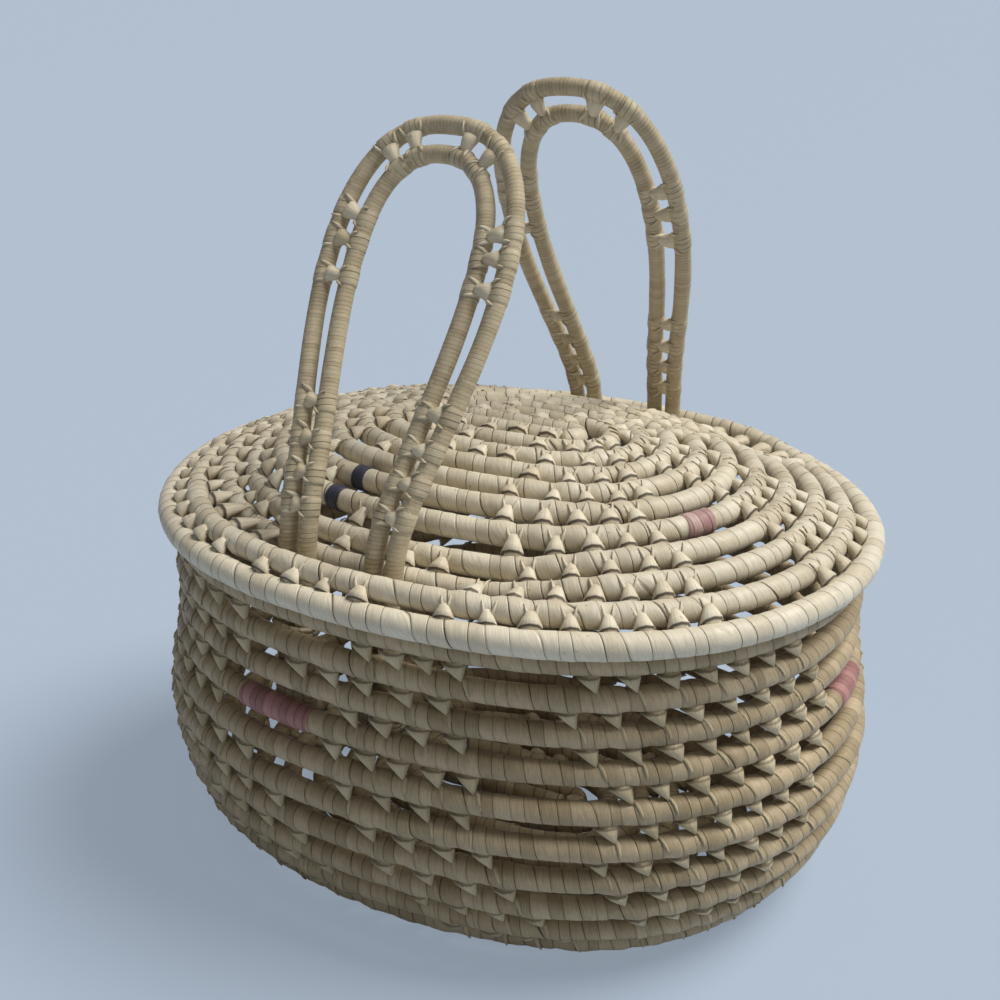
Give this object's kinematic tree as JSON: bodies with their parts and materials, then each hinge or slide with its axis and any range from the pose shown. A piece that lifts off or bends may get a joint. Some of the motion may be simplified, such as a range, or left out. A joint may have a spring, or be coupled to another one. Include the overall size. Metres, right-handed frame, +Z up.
{
  "type": "lidded basket",
  "caption": "Oval coiled palm-leaf basket with an openwork body, a domed overhanging lid and tall tied cane handles that pass through the lid, for keeping flatbread warm.",
  "frame": {"origin": "middle of the underside, in the plane the basket stands on", "axes": "+X along the long axis of the oval, -Y towards the near long side in the picture, +Z up"},
  "size_m": [0.3396, 0.2818, 0.3509],
  "materials": {
    "palm_leaf": "satin",
    "stitch_leaf": "satin",
    "handle_leaf": "satin",
    "pink_leaf": "satin",
    "navy_leaf": "satin"
  },
  "bodies": {
    "basket": {"base_coil": "palm_leaf", "base_core_far": "palm_leaf", "base_core_near": "palm_leaf", "base_knots": "stitch_leaf", "body_rim_coil": "palm_leaf", "far_handle_tails": "handle_leaf", "near_handle_tails": "handle_leaf", "wall_knots_row_01": "stitch_leaf", "wall_knots_row_02": "stitch_leaf", "wall_knots_row_03": "stitch_leaf", "wall_knots_row_04": "stitch_leaf", "wall_knots_row_05": "stitch_leaf", "wall_knots_row_06": "stitch_leaf", "wall_knots_row_07": "stitch_leaf", "wall_knots_row_08": "stitch_leaf", "wall_knots_row_09": "stitch_leaf", "wall_lower_coil": "palm_leaf", "wall_pink_wrap_left": "pink_leaf", "wall_pink_wrap_right": "pink_leaf", "wall_upper_coil": "palm_leaf"},
    "lid": {"lid_core_far": "palm_leaf", "lid_core_knots": "stitch_leaf", "lid_core_near": "palm_leaf", "lid_crown_coil": "palm_leaf", "lid_knots_row_01": "stitch_leaf", "lid_knots_row_02": "stitch_leaf", "lid_knots_row_03": "stitch_leaf", "lid_knots_row_04": "stitch_leaf", "lid_knots_row_05": "stitch_leaf", "lid_knots_row_06": "stitch_leaf", "lid_knots_row_07": "stitch_leaf", "lid_knots_row_08": "stitch_leaf", "lid_knots_row_09": "stitch_leaf", "lid_navy_wrap_inner": "navy_leaf", "lid_navy_wrap_outer": "navy_leaf", "lid_pink_wrap": "pink_leaf", "lid_rim_coil": "palm_leaf", "lid_slot_coil": "palm_leaf"},
    "near_handle": {"near_outer_rod": "handle_leaf", "near_inner_rod": "handle_leaf", "near_handle_ties": "handle_leaf"},
    "far_handle": {"far_outer_rod": "handle_leaf", "far_inner_rod": "handle_leaf", "far_handle_ties": "handle_leaf"}
  },
  "joints": [
    {"name": "lid_lift", "type": "slide", "parent": "basket", "child": "lid", "axis": [0, 0, 1], "range_m": [0, 0.04]},
    {"name": "near_handle_swing", "type": "hinge", "parent": "basket", "child": "near_handle", "pos_m": [-0.0251, -0.11606, 0.1527], "axis": [0.9952, -0.0975, 0], "range_deg": [0, 14.4]},
    {"name": "far_handle_swing", "type": "hinge", "parent": "basket", "child": "far_handle", "pos_m": [0.0113, 0.11741, 0.1527], "axis": [-0.9989, 0.0476, 0], "range_deg": [0, 12.1]}
  ],
  "couplings": [
    {"joint": "near_handle_swing", "follows": "lid_lift", "rad_per_m": 6.2308},
    {"joint": "far_handle_swing", "follows": "lid_lift", "rad_per_m": 5.2308}
  ]
}
